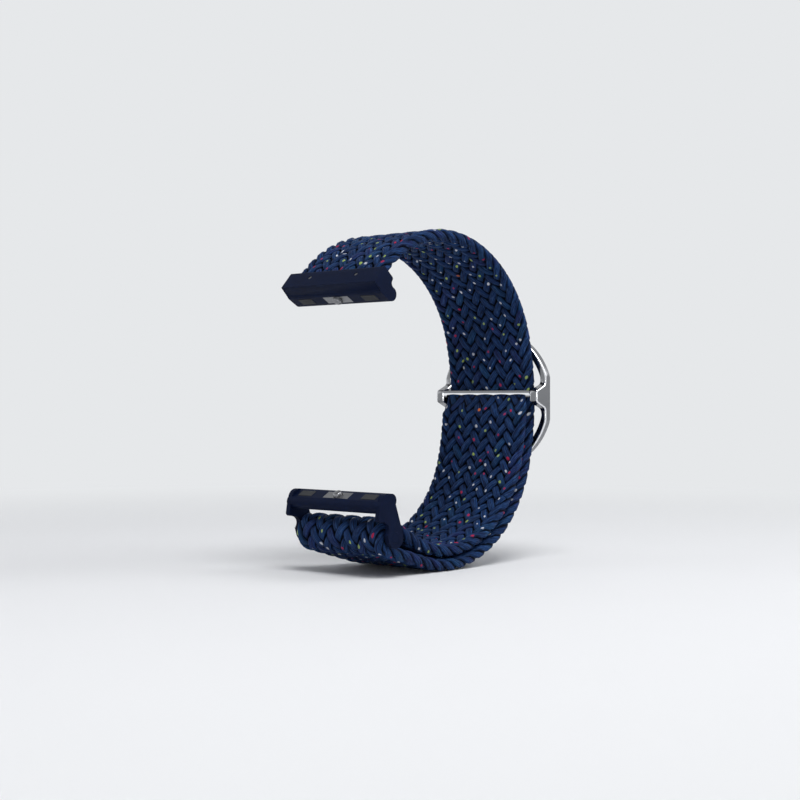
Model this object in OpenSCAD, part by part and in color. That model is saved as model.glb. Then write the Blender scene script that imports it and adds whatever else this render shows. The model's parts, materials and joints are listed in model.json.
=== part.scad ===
/* [Band] */
// Width of the braided band
band_w = 22; // [18:0.5:24]
// Thickness of the braided band
band_t = 2.4; // [1.8:0.1:2.8]
// Distance from the lug plane to the middle of the band at the back of the loop
loop_depth = 45.6; // [40:0.5:52]
// Radius of the back of the loop, along which the buckle slides
back_r = 50; // [44:1:60]
// Height of the middle of the back above the middle of the lugs
back_z = -0.7; // [-2:0.1:2]
// Radius of the loop above the back
upper_r = 25.6; // [24:0.2:27]
// Radius of the outer layer below the back
lower_r = 25; // [24:0.2:27]
// Gap between the outer layer and the return layer
layer_gap = 0.35; // [0.2:0.05:0.8]

/* [Lug inserts] */
// Distance between the two lug inserts, along the watch case
lug_span = 38.8; // [36:0.2:42]
// Length of a lug insert across the band
insert_w = 24.3; // [23.5:0.1:26]
// Breadth of a lug insert's section
insert_b = 4.8; // [4.2:0.1:5.4]
// Thickness of a lug insert's section
insert_t = 2.6; // [2.4:0.1:3]
// Lean of a lug insert's section
insert_lean = 30; // [20:1:40]

/* [Mouth of the upper connector] */
// Distance from the lug plane to the middle of the mouth
mouth_y = 0.24; // [0:0.04:0.6]
// Height of the mouth above the upper insert's axis
mouth_rise = 3.45; // [3.3:0.05:3.8]

/* [Ring of the lower connector] */
// Distance from the lug plane to the ring bar
ring_bar_y = 2.15; // [1.6:0.05:2.6]
// Drop from the lower insert to the ring bar
ring_bar_drop = 6.3; // [6:0.1:7]
// Diameter of the ring bar
ring_bar_d = 2; // [1.6:0.1:2.4]
// Clearance between the ring bar and the fold of the band
fold_clearance = 0.25; // [0.15:0.05:0.5]
// Straight stretch of the return layer beside the fold
return_run = 6.55; // [5.5:0.05:8]
// Radius of an arm's end round the ring bar
arm_r = 2; // [1.8:0.1:2.4]

/* [Buckle] */
// Outer diameter of the buckle's ring
frame_d = 28.4; // [27.6:0.2:32]
// Depth of the flat sides that cut the ring's circle beside the ears
frame_flat = 0.75; // [0.3:0.05:0.9]
// Width of the ring's rim
rim_w = 1.55; // [1.4:0.05:1.8]
// Thickness of the ring's rim
rim_t = 1.75; // [1.4:0.05:2.2]
// Height of the buckle's middle
buckle_z = -0.2; // [-1:0.1:1]
// Thickness of the clamp bar
clamp_t = 0.98; // [0.9:0.02:1.2]
// Height of the clamp bar
clamp_h = 1.35; // [1.2:0.05:1.8]
// Thickness of the clamp bar's lips
lip_t = 0.24; // [0.2:0.02:0.28]
// Spacing of the teeth on the clamp's front lip
tooth_pitch = 4.3; // [3.5:0.1:5]

/* [Latch] */
// Travel of a latch plunger
latch_travel = 0.6; // [0.4:0.05:0.7]
// Diameter of a latch plunger's nose
latch_d = 1.8; // [1.4:0.1:2]

/* [Hidden] */
$fn = 48;

// Clearances: a fixed seat, a turning fit, and a cutting overrun
seat = 0.02;
running = 0.05;
over = 0.5;

NAVY = [0.11, 0.17, 0.30];
SEALED = [0.07, 0.11, 0.20];
MOULDED = [0.08, 0.13, 0.22];
STEEL = [0.75, 0.76, 0.78];
RUBBER = [0.12, 0.12, 0.13];

// Where two circles meet, on the left of the way from the first centre to the second
function meet(c0, r0, c1, r1) =
    let (v = c1 - c0, d = norm(v), a = (r0 * r0 - r1 * r1 + d * d) / (2 * d))
    c0 + (a * v + sqrt(r0 * r0 - a * a) * [-v[1], v[0]]) / d;

// Circles of the loop's path, as [y, z] centres. The upper one passes through the mouth, the lower one
// leaves a straight run to the fold, and each touches the arc of the back where it ends
lug_z = lug_span / 2;
band_hw = band_w / 2;
layer_step = band_t + layer_gap;
ring_bar_c = [ring_bar_y, -lug_z - ring_bar_drop];
ring_bar_r = ring_bar_d / 2;
fold_r = ring_bar_r + fold_clearance + band_t / 2;
return_r = lower_r - layer_step;
tail_back_r = back_r - layer_step;
mouth = [mouth_y, lug_z + mouth_rise];
back_c = [loop_depth - back_r, back_z];
upper_c = meet(mouth, upper_r, back_c, back_r - upper_r);
lower_c = meet(back_c, back_r - lower_r, ring_bar_c, norm([return_r + fold_r, return_run]));
upper_join = atan2(upper_c[1] - back_c[1], upper_c[0] - back_c[0]);
lower_join = atan2(lower_c[1] - back_c[1], lower_c[0] - back_c[0]);
mouth_angle = atan2(mouth[1] - upper_c[1], mouth[0] - upper_c[0]);

// The outer layer leaves the lower circle for the fold on their outside tangent,
// and the return layer comes back from the fold on the crossed one
to_fold = ring_bar_c - lower_c;
fold_dir = atan2(to_fold[1], to_fold[0]);
outside_angle = fold_dir + acos((lower_r - fold_r) / norm(to_fold));
crossed_angle = fold_dir + acos((return_r + fold_r) / norm(to_fold));

// The return layer's last stretch, which gives when the buckle slides, starts this far below the arc's end
tail_turn = 23;
tail_root_angle = lower_join - tail_turn;
arc_step = 5;
fold_step = 20;

// A station of the band's path is [y, z, heading, thickness, half width]
function along_arc(c, r, a0, a1, step, t = band_t, hw = band_hw) =
    let (n = ceil(abs(a1 - a0) / step), side = a1 > a0 ? 90 : -90)
    [for (i = [0:n]) let (a = a0 + (a1 - a0) * i / n)
        [c[0] + r * cos(a), c[1] + r * sin(a), a + side, t, hw]];

// Rounded edges of the band: points round each edge of a section
edge_steps = 5;
EDGE = [for (i = [0:edge_steps]) -90 + 180 * i / edge_steps];

function band_section(s) =
    let (r = s[3] / 2, n = [-sin(s[2]), cos(s[2])])
    concat(
        [for (a = EDGE) [s[4] - r + r * cos(a), s[0] + n[0] * r * sin(a), s[1] + n[1] * r * sin(a)]],
        [for (a = EDGE) [r - s[4] - r * cos(a), s[0] - n[0] * r * sin(a), s[1] - n[1] * r * sin(a)]]
    );

// One closed solid through rings of points, each ring in the same order
module skin(rings) {
    m = len(rings[0]);
    last = len(rings) - 1;
    points = [for (ring = rings) each ring];
    side = [for (j = [0:last - 1]) for (i = [0:m - 1])
        let (a = j * m + i, b = j * m + (i + 1) % m)
        each [[a, b, b + m], [a, b + m, a + m]]];
    start = [for (i = [1:m - 2]) [0, i + 1, i]];
    finish = [for (i = [1:m - 2]) [last * m, last * m + i, last * m + i + 1]];
    polyhedron(points, concat(side, start, finish));
}

module band(stations) {
    skin([for (s = stations) band_section(s)]);
}

// A flat shape drawn in the Y-Z plane and carried across the band, between two places on X
module across(x0, x1) {
    translate([x0, 0, 0]) rotate([90, 0, 90]) linear_extrude(x1 - x0) children();
}

module slot2d(length, width) {
    translate([-(length - width) / 2, -width / 2]) square([length - width, width]);
    for (s = [-1, 1]) translate([s * (length - width) / 2, 0]) circle(d = width);
}

// Two circles with the straight sides that touch both
module link2d(c0, r0, c1, r1) {
    v = c1 - c0;
    a = atan2(v[1], v[0]);
    b = acos((r0 - r1) / norm(v));
    translate(c0) circle(r = r0);
    translate(c1) circle(r = r1);
    polygon([
        c0 + r0 * [cos(a + b), sin(a + b)], c1 + r1 * [cos(a + b), sin(a + b)],
        c1 + r1 * [cos(a - b), sin(a - b)], c0 + r0 * [cos(a - b), sin(a - b)]
    ]);
}

// Fills an inside corner with an arc; the corner's two edges leave it in the directions a1 and a2
module fillet2d(corner, a1, a2, r) {
    mid = (a1 + a2) / 2;
    centre = corner + r / sin(abs(a2 - a1) / 2) * [cos(mid), sin(mid)];
    sweep = 180 - abs(a2 - a1);
    polygon(concat(
        [corner - r / 4 * [cos(mid), sin(mid)]],
        [for (i = [0:6]) let (a = mid + 180 - sweep / 2 + sweep * i / 6) centre + r * [cos(a), sin(a)]]
    ));
}

// Path of the band from the upper connector, round the back and the ring bar, to the return layer
main_path = concat(
    along_arc(upper_c, upper_r, mouth_angle, upper_join, arc_step),
    along_arc(back_c, back_r, upper_join, lower_join, arc_step),
    along_arc(lower_c, lower_r, lower_join, outside_angle, arc_step),
    along_arc(ring_bar_c, fold_r, outside_angle, crossed_angle - 180, fold_step),
    along_arc(lower_c, return_r, crossed_angle, tail_root_angle, arc_step)
);

// Drops a station that lies on the one before it, where two arcs meet
function tidy_path(p) = [for (i = [0:len(p) - 1])
    if (i == 0 || norm([p[i][0] - p[i - 1][0], p[i][1] - p[i - 1][1]]) > 0.01) p[i]];

module band_main() {
    color(NAVY) band(tidy_path(main_path));
}

module band_tail() {
    color(NAVY) band(tidy_path(concat(
        along_arc(lower_c, return_r, tail_root_angle, lower_join, arc_step),
        along_arc(back_c, tail_back_r, lower_join, tail_join_angle, arc_step)
    )));
}

// Places of the buckle: the ring lies outside the band, the clamp bar inside it
ring_sink = 0.45;
ear_gap = 0.5;
slide_gap = 0.12;
clamp_rise = 1.7;
lip_cut = 0.4;
dowel_drop = 0.68;
seal_inset = 0.5;
frame_r = frame_d / 2;
frame_hw = frame_r - frame_flat;
frame_front = loop_depth + band_t / 2 - ring_sink;
frame_back = frame_front + rim_t;
bore_r = frame_r - rim_w;
ear_inner = band_hw + ear_gap;
clamp_back = loop_depth - band_t / 2 - slide_gap;
clamp_front = clamp_back - clamp_t;
clamp_mid = (clamp_front + clamp_back) / 2;
clamp_top = buckle_z + clamp_rise;
clamp_bottom = clamp_top - clamp_h;
slot_t = clamp_t - 2 * lip_t;
slot_top = clamp_top - lip_t;
lip_bottom = clamp_bottom + lip_cut;
dowel_r = 0.25;
dowel_l = 0.8;
dowel_z = clamp_top - dowel_drop;
sealed_hw = band_hw - seal_inset;

// The tail thins and bends outwards into the clamp's slot
tail_end_t = slot_t - 2 * seat;
tail_ease = 4;
tail_join_angle = asin((clamp_bottom - tail_ease - back_z) / tail_back_r);
tail_end_steps = 6;
tail_end_start = back_c + tail_back_r * [cos(tail_join_angle), sin(tail_join_angle)];

function ease(u) = u * u * (3 - 2 * u);

function tail_end_station(u) =
    let (z = tail_end_start[1] + (clamp_bottom - tail_end_start[1]) * u,
         y0 = back_c[0] + sqrt(tail_back_r * tail_back_r - (z - back_z) * (z - back_z)),
         k = ease(u))
    [y0 + (clamp_mid - y0) * k, z, 90 + (1 - u) * tail_join_angle,
     band_t + (tail_end_t - band_t) * k, band_hw + (sealed_hw - band_hw) * k];

module band_tail_end() {
    color(NAVY) band(concat(
        [for (i = [0:tail_end_steps]) tail_end_station(i / tail_end_steps)],
        [[clamp_mid, slot_top - seat, 90, tail_end_t, sealed_hw]]
    ));
}

// Rim's section: flat faces with rounded corners, drawn as radius and height
rim_round = 0.35;

function rounded_rect(x0, y0, x1, y1, r, n = 4) = [
    for (c = [[x1 - r, y1 - r, 0], [x0 + r, y1 - r, 90], [x0 + r, y0 + r, 180], [x1 - r, y0 + r, 270]])
        for (i = [0:n]) [c[0] + r * cos(c[2] + 90 * i / n), c[1] + r * sin(c[2] + 90 * i / n)]];

module ring() {
    intersection() {
        translate([0, frame_back, buckle_z]) rotate([90, 0, 0])
            rotate_extrude($fn = 96) polygon(rounded_rect(bore_r, 0, frame_r, rim_t, rim_round));
        across(-frame_hw, frame_hw)
            translate([frame_front - over, buckle_z - frame_d]) square([rim_t + 2 * over, 2 * frame_d]);
    }
}

// An ear stands from the rim towards the wrist: a blunt tip whose flanks widen to a fillet at the rim
ear_short = 0.05;
ear_tip = clamp_front + ear_short;
ear_tip_h = 2.9;
ear_fillet = 0.9;
ear_corner = 0.7;
ear_slope = 24;
ear_root = frame_front + rim_t / 2;
ear_lift = 0.5;
corner_c = [ear_tip + ear_corner, ear_tip_h / 2 - ear_corner];
flank_start = corner_c + ear_corner * [-sin(ear_slope), cos(ear_slope)];
flank_run = frame_front - ear_fillet * (1 - sin(ear_slope)) - flank_start[0];
flank_end = flank_start + flank_run * [1, tan(ear_slope)];
fillet_c = [frame_front - ear_fillet, flank_end[1] + ear_fillet * cos(ear_slope)];

function turn_round(c, r, a0, a1, n) =
    [for (i = [0:n]) let (a = a0 + (a1 - a0) * i / n) c + r * [cos(a), sin(a)]];

module ear_half2d() {
    // from the middle line of the ear out to its flank
    polygon(concat(
        [[ear_root, 0], [ear_tip, 0]],
        turn_round(corner_c, ear_corner, 180, 90 + ear_slope, 4),
        turn_round(fillet_c, ear_fillet, 270 + ear_slope, 360, 5),
        [[ear_root, fillet_c[1]]]
    ));
}

module ears() {
    for (s = [0, 1]) mirror([s, 0, 0]) translate([0, 0, buckle_z + ear_lift])
        across(ear_inner, frame_hw) {
            ear_half2d();
            mirror([0, 1]) ear_half2d();
        }
}

module buckle_frame() {
    color(STEEL) difference() {
        union() {
            ring();
            ears();
        }
        // blind holes for the clamp's dowels, in the ears' inner faces
        for (s = [-1, 1]) translate([s * (ear_inner - over), clamp_mid, dowel_z]) rotate([0, s * 90, 0])
            cylinder(r = dowel_r + seat, h = dowel_l + over);
    }
}

clamp_hw = ear_inner - seat;
tooth_depth = 0.2;
tooth_arc_r = (tooth_pitch * tooth_pitch / 4 + tooth_depth * tooth_depth) / (2 * tooth_depth);
tooth_arc_drop = tooth_arc_r - tooth_depth;
tooth_count = ceil(sealed_hw / tooth_pitch - 1 / 2);
slot_hw = sealed_hw + seat;

// What is cut off the front lip: its edge runs in shallow arcs between small teeth, no wider than the slot
module lip_cuts() {
    depth = over + lip_t + slot_t / 2;
    across(-slot_hw, slot_hw)
        translate([clamp_front - over, clamp_bottom - over]) square([depth, lip_bottom - clamp_bottom + over]);
    intersection() {
        for (i = [-tooth_count:tooth_count])
            translate([i * tooth_pitch, clamp_front - over, lip_bottom - tooth_arc_drop])
                rotate([-90, 0, 0]) cylinder(r = tooth_arc_r, h = depth, $fn = 96);
        across(-slot_hw, slot_hw) translate([clamp_front - over, clamp_bottom - over]) square([depth, clamp_h]);
    }
}

module end_clamp() {
    color(STEEL) difference() {
        across(-clamp_hw, clamp_hw)
            translate([clamp_front, clamp_bottom]) square([clamp_t, clamp_h]);
        // slot for the tail's end, open below
        across(-slot_hw, slot_hw)
            translate([clamp_front + lip_t, clamp_bottom - over]) square([slot_t, slot_top - clamp_bottom + over]);
        lip_cuts();
        for (s = [-1, 1]) translate([s * (clamp_hw + over), clamp_mid, dowel_z]) rotate([0, -s * 90, 0])
            cylinder(r = dowel_r + seat, h = dowel_l + over);
    }
}

module clamp_dowels() {
    color(STEEL) for (s = [-1, 1]) translate([s * (ear_inner - dowel_l), clamp_mid, dowel_z])
        rotate([0, s * 90, 0]) cylinder(r = dowel_r, h = 2 * dowel_l - seat);
}

// Lug inserts: the upper one's own frame has Y along its section and Z away from the case
module at_upper() {
    translate([0, 0, lug_z]) rotate([-insert_lean, 0, 0]) children();
}

module at_lower() {
    mirror([0, 0, 1]) at_upper() children();
}

insert_hw = insert_w / 2;
face = insert_t / 2;
plate_t = 0.3;
plate_l = 6.4;
plate_b = 2;
peg_r = 0.3;
peg_l = 0.7;
peg_x = 2.4;
flange_w = 0.32;
flange_r = latch_d / 2 + flange_w;
flange_t = 0.35;
chamber_roof = 0.5;
chamber_top = face - chamber_roof;
nose_spare = 0.1;
nose_dome = 0.35;
nose_out = latch_travel + nose_spare;
pad_l = 3.6;
pad_b = 1.7;
pad_t = 0.6;
pad_proud = 0.1;
pad_x = 8.2;

module insert_body() {
    across(-insert_hw, insert_hw) slot2d(insert_b, insert_t);
}

module block(l, b, z0, z1) {
    translate([-l / 2, -b / 2, z0]) cube([l, b, z1 - z0]);
}

// What is cut out of an insert for its latch and grip pads
module insert_cuts() {
    cylinder_z(flange_r + running, plate_t - face - seat, chamber_top);
    block(plate_l + 2 * seat, plate_b + 2 * seat, -face - over, plate_t - face);
    for (s = [-1, 1]) {
        translate([s * peg_x, 0, 0]) cylinder_z(peg_r + seat, -face, plate_t - face + peg_l + seat);
        translate([s * pad_x, 0, 0]) block(pad_l, pad_b, -face - over, pad_t - pad_proud - face);
    }
}

module cylinder_z(r, z0, z1) {
    translate([0, 0, z0]) cylinder(r = r, h = z1 - z0);
}

module latch_plate() {
    difference() {
        block(plate_l, plate_b, -face, plate_t - face - seat);
        cylinder_z(latch_d / 2 + running, -face - over, face);
    }
    for (s = [-1, 1]) translate([s * peg_x, 0, 0]) cylinder_z(peg_r, plate_t - face - 2 * seat, plate_t - face + peg_l);
}

module latch_plunger() {
    nose_r = latch_d / 2;
    translate([0, 0, -face - nose_out]) rotate_extrude() polygon(concat(
        [[0, 0]],
        [for (i = [0:4]) let (a = -90 + 90 * i / 4)
            [nose_r - nose_dome + nose_dome * cos(a), nose_dome + nose_dome * sin(a)]],
        [[nose_r, nose_out + plate_t], [flange_r, nose_out + plate_t],
         [flange_r, nose_out + plate_t + flange_t], [0, nose_out + plate_t + flange_t]]
    ));
}

// Coil spring between the plunger's flange and the top of its chamber
wire_d = 0.16;
coil_turns = 2.5;
coil_steps = 12;
coil_sides = 6;
coil_gap = 0.1;
coil_r = flange_r - wire_d / 2 - coil_gap;
coil_bottom = plate_t - face + flange_t + wire_d / 2 + seat;
coil_rise = chamber_top - coil_bottom - wire_d / 2 - seat;

module latch_spring() {
    n = coil_turns * coil_steps;
    skin([for (i = [0:n]) let (a = -360 * i / coil_steps)
        [for (k = [0:coil_sides - 1]) let (b = 360 * k / coil_sides, rr = coil_r + wire_d / 2 * cos(b))
            [rr * cos(a), rr * sin(a), coil_bottom + coil_rise * i / n + wire_d / 2 * sin(b)]]]);
}

module grip_pads() {
    for (s = [-1, 1]) translate([s * pad_x, 0, 0])
        block(pad_l - 2 * seat, pad_b - 2 * seat, -face - pad_proud, pad_t - pad_proud - face - seat);
}

// The band's sealed end lies in the upper connector's pocket, in line with the band where it comes out
sealed_t = 1.8;
pocket_wall = 0.75;
pocket_l = 3.3;
mouth_round = 0.4;
mouth_heading = mouth_angle - 90;
pin_r = 0.4;
pin_x = 6;
pin_s = -1.7;
pin_sink = 0.1;

module at_mouth() {
    translate([0, mouth[0], mouth[1]]) rotate([mouth_heading, 0, 0]) children();
}

module neck2d() {
    h = sealed_t / 2 + pocket_wall;
    translate(mouth) rotate(mouth_heading) polygon(concat(
        [[-pocket_l - pocket_wall, -h]],
        [for (i = [0:4]) [-mouth_round * (1 - sin(90 * i / 4)), mouth_round * (1 - cos(90 * i / 4)) - h]],
        [for (i = [0:4]) [-mouth_round * (1 - cos(90 * i / 4)), h - mouth_round * (1 - sin(90 * i / 4))]],
        [[-pocket_l - pocket_wall, h]]
    ));
}

// Where the neck's wrist side meets the insert's outer face, filled with an arc
face_dir = [cos(insert_lean), -sin(insert_lean)];
neck_dir = [cos(mouth_heading), sin(mouth_heading)];
neck_side = mouth + (sealed_t / 2 + pocket_wall) * [neck_dir[1], -neck_dir[0]];
face_point = [0, lug_z] + face * [sin(insert_lean), cos(insert_lean)];
neck_run = cross(neck_side - face_point, face_dir) / cross(neck_dir, face_dir);
neck_corner = neck_side - neck_run * neck_dir;
neck_fillet = 0.9;

module upper_connector() {
    color(MOULDED) difference() {
        union() {
            at_upper() insert_body();
            across(-insert_hw, insert_hw) {
                neck2d();
                fillet2d(neck_corner, -insert_lean, mouth_heading, neck_fillet);
            }
        }
        at_upper() insert_cuts();
        at_mouth() translate([-sealed_hw - seat, -pocket_l, -sealed_t / 2 - seat])
            cube([2 * (sealed_hw + seat), pocket_l + over, sealed_t + 2 * seat]);
        pin_holes(pin_r + seat);
    }
}

module pin_holes(r) {
    at_mouth() for (s = [-1, 1]) translate([s * pin_x, pin_s, -sealed_t / 2 - pocket_wall - over])
        cylinder(r = r, h = sealed_t + 2 * pocket_wall + 2 * over);
}

module upper_retaining_pins() {
    color(STEEL) at_mouth() for (s = [-1, 1]) translate([s * pin_x, pin_s, -sealed_t / 2 - pocket_wall + pin_sink])
        cylinder(r = pin_r, h = sealed_t + 2 * (pocket_wall - pin_sink));
}

module band_upper_end() {
    color(SEALED) difference() {
        at_mouth() translate([-sealed_hw, -pocket_l + seat, -sealed_t / 2])
            cube([2 * sealed_hw, pocket_l - 2 * seat, sealed_t]);
        pin_holes(pin_r + seat);
    }
}

// Arms of the lower connector pass outside the band and hold the ring bar.
// In front each has a short foot under the insert, and below it a round hollow
arm_gap = 0.15;
arm_inner = band_hw + arm_gap;
plug_t = 0.38;
arm_top_r = 1.9;
foot_reach = 1.9;
foot_drop = 2.65;
foot_r = 0.6;
foot_inset = 0.1;
hollow_out = 3.15;
hollow_up = 1.6;
hollow_r = 1.3;
foot_c = [-foot_reach, -lug_z - foot_drop];
hollow_c = ring_bar_c + [-hollow_out, hollow_up];

module arm2d() {
    top = [0, -lug_z];
    front = top - (insert_b / 2 - face) * [cos(insert_lean), sin(insert_lean)];
    difference() {
        union() {
            link2d(top, arm_top_r, ring_bar_c, arm_r);
            link2d(front, face - foot_inset, foot_c, foot_r);
            polygon([front, foot_c, foot_c - [0, foot_r], [0, foot_c[1] - foot_r], top]);
        }
        translate(hollow_c) circle(r = hollow_r);
    }
}

module lower_connector() {
    color(MOULDED) difference() {
        union() {
            at_lower() insert_body();
            for (x = [-insert_hw, arm_inner]) across(x, x + insert_hw - arm_inner) arm2d();
        }
        at_lower() insert_cuts();
        translate([-insert_hw - over, ring_bar_c[0], ring_bar_c[1]]) rotate([0, 90, 0])
            cylinder(r = ring_bar_r + seat, h = insert_w + 2 * over);
    }
}

module ring_bar() {
    l = insert_hw - plug_t - seat;
    color(STEEL) translate([-l, ring_bar_c[0], ring_bar_c[1]]) rotate([0, 90, 0])
        cylinder(r = ring_bar_r, h = 2 * l);
}

module ring_bar_plugs() {
    color(MOULDED) for (x = [-insert_hw, insert_hw - plug_t])
        translate([x, ring_bar_c[0], ring_bar_c[1]]) rotate([0, 90, 0]) cylinder(r = ring_bar_r, h = plug_t);
}

module upper_latch_plate() { color(STEEL) at_upper() latch_plate(); }
module upper_latch_plunger() { color(STEEL) at_upper() latch_plunger(); }
module upper_latch_spring() { color(STEEL) at_upper() latch_spring(); }
module upper_grip_pads() { color(RUBBER) at_upper() grip_pads(); }
module lower_latch_plate() { color(STEEL) at_lower() latch_plate(); }
module lower_latch_plunger() { color(STEEL) at_lower() latch_plunger(); }
module lower_latch_spring() { color(STEEL) at_lower() latch_spring(); }
module lower_grip_pads() { color(RUBBER) at_lower() grip_pads(); }

band_main();
band_tail();
band_tail_end();
band_upper_end();
buckle_frame();
end_clamp();
clamp_dowels();
upper_connector();
upper_retaining_pins();
upper_latch_plate();
upper_latch_plunger();
upper_latch_spring();
upper_grip_pads();
lower_connector();
ring_bar();
ring_bar_plugs();
lower_latch_plate();
lower_latch_plunger();
lower_latch_spring();
lower_grip_pads();
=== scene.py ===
"""Looks of the braided watch strap: woven band, ring buckle, moulded connectors and a plain studio."""
import json
import math

import bmesh
import bpy
import numpy as np
from bpy.props import FloatProperty, FloatVectorProperty, IntProperty, PointerProperty
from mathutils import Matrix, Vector


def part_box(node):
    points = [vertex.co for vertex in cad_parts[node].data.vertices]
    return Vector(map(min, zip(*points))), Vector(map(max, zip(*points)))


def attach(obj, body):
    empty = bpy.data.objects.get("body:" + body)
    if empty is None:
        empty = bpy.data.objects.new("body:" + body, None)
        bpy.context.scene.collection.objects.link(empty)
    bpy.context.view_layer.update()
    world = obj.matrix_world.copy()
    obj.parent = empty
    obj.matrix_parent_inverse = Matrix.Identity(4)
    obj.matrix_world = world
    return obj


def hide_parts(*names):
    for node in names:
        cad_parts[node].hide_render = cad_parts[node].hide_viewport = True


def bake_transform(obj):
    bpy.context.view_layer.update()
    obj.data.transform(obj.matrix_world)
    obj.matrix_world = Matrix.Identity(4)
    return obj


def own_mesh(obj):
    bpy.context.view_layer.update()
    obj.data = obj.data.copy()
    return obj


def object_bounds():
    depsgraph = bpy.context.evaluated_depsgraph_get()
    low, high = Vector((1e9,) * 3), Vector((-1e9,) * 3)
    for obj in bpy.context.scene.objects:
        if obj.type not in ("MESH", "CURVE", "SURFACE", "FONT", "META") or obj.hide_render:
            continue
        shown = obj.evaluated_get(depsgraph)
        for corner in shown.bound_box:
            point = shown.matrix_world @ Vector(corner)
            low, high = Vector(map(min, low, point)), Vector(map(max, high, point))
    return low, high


bl_info = {
    "name": "Braided Watch Strap",
    "version": (1, 0, 0),
    "blender": (4, 5, 0),
    "location": "3D View > Sidebar > Watch Strap",
    "description": "Weaves the strap's band and finishes its buckle, connectors and latches",
    "category": "Object",
}

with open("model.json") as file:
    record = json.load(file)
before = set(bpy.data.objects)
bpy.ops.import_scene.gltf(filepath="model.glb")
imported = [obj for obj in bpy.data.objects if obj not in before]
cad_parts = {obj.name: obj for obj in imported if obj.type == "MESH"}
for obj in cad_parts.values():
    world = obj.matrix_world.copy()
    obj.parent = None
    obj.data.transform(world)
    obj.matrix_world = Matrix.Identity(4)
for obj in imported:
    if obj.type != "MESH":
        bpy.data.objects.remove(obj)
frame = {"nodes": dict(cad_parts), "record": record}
CAD_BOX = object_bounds()
BEHAVIOUR = frame["record"]["behaviour"]
BODY_OF = {node: body for body, nodes in BEHAVIOUR["bodies"].items() for node in nodes}
JOINTS = {joint["name"]: joint for joint in BEHAVIOUR["joints"]}
MM = 0.001


# Sizes and colours a user would change

def linear(red, green, blue):
    """A colour's linear values, from its display values of 0 to 255"""
    part = np.array([red, green, blue]) / 255
    return tuple(np.where(part <= 0.04045, part / 12.92, ((part + 0.055) / 1.055) ** 2.4).tolist())


def size(name, about, millimetres, low=0.0, high=100.0):
    """A length, given in millimetres"""
    return FloatProperty(
        name=name, description=about, default=millimetres * MM, min=low * MM, max=high * MM,
        precision=5, subtype="DISTANCE", unit="LENGTH")


def slope(name, about, degrees):
    """An angle, given in degrees"""
    return FloatProperty(
        name=name, description=about, default=math.radians(degrees), subtype="ANGLE", unit="ROTATION")


def colour(name, about, red, green, blue):
    """A colour, given in display values of 0 to 255"""
    return FloatVectorProperty(
        name=name, description=about, default=linear(red, green, blue), min=0, max=1, size=3,
        subtype="COLOR")


def share(name, about, value, most=1.0):
    """A part of a whole"""
    return FloatProperty(
        name=name, description=about, default=value, min=0, max=most, subtype="FACTOR")


def power(name, about, watts):
    """A lamp's power"""
    return FloatProperty(name=name, description=about, default=watts, min=0, unit="POWER")


class LoopSizes(bpy.types.PropertyGroup):
    """The path of the band, with the construction's own sizes"""
    band_width: size("Band width", "Width of the braided band", 22, 18, 24)
    band_thickness: size("Band thickness", "Thickness of the braided band", 2.4, 1.8, 2.8)
    back_radius: size("Back radius", "Radius of the back, along which the buckle slides", 50)
    upper_radius: size("Upper radius", "Radius of the loop above the back", 25.6)
    lower_radius: size("Lower radius", "Radius of the outer layer below the back", 25)
    layer_gap: size("Layer gap", "Gap between the outer layer and the return layer", 0.35)
    mouth_depth: size("Mouth depth", "From the lug plane to the mouth of the upper connector", 0.24)
    mouth_height: size("Mouth height", "Height of the mouth of the upper connector", 22.85)
    fold_radius: size("Fold radius", "Radius of the band's middle round the ring bar", 2.45)
    return_run: size("Return run", "Straight stretch of the return layer beside the fold", 6.55)
    tail_turn: slope("Tail turn", "Angle of the lower arc that gives as the buckle slides", 23)


class BraidLook(bpy.types.PropertyGroup):
    """The braid's strands and yarn colours"""
    strands: IntProperty(
        name="Strands", description="Number of strands, one more than twice the columns", default=21,
        min=3)
    pitch: size("Pitch", "Length along the band from one leaf to the next", 3)
    cover: share("Cover", "Width of a strand as a share of its room, over 1 to overlap", 0.83, 1.5)
    narrowest: size("Narrowest strand", "Least width of a strand, where it folds round an edge", 1.25)
    widest: size("Widest strand", "Most width of a strand, beside an edge", 2.3)
    strand_thickness: size("Strand thickness", "Thickness of a flattened strand", 1.15)
    fleck_share: share("Fleck share", "Share of the leaves that show a fleck", 0.62)
    fleck_size: size("Fleck size", "Diameter of a fleck", 0.54)
    filament: size("Filament bundle", "Width of a bundle of filaments in a strand", 0.34)
    navy: colour("Navy", "Yarn colour in its shaded filaments", 15, 29, 60)
    blue: colour("Blue", "Yarn colour in its light filaments", 31, 62, 110)
    violet: colour("Violet", "Colour that tints a few leaves", 50, 42, 104)
    teal: colour("Teal", "Colour that tints a few other leaves", 22, 80, 112)
    shade: colour("Shade", "Colour that darkens each leaf by chance", 16, 27, 56)
    # Painted shade in the furrows between bundles of filaments
    furrow_shade: colour("Furrow", "Colour between two bundles of filaments", 10, 17, 38)
    # Painted highlight on the thin threads
    thread_and_highlight: colour("Thread", "Colour of the thin threads that catch the light", 92, 134, 196)
    sheen: colour("Sheen", "Colour of the yarn's faint sheen", 110, 145, 210)
    # Painted shade: the colour deep between the strands, which the dark core shows too
    gap: colour("Gap", "Colour deep between the strands", 3, 7, 17)
    white: colour("White fleck", "Colour of the pale flecks", 205, 208, 216)
    lime: colour("Lime fleck", "Colour of the green flecks", 156, 178, 84)
    red: colour("Red fleck", "Colour of the red flecks", 176, 32, 62)
    orange: colour("Orange fleck", "Colour of the orange flecks", 214, 112, 44)


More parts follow.
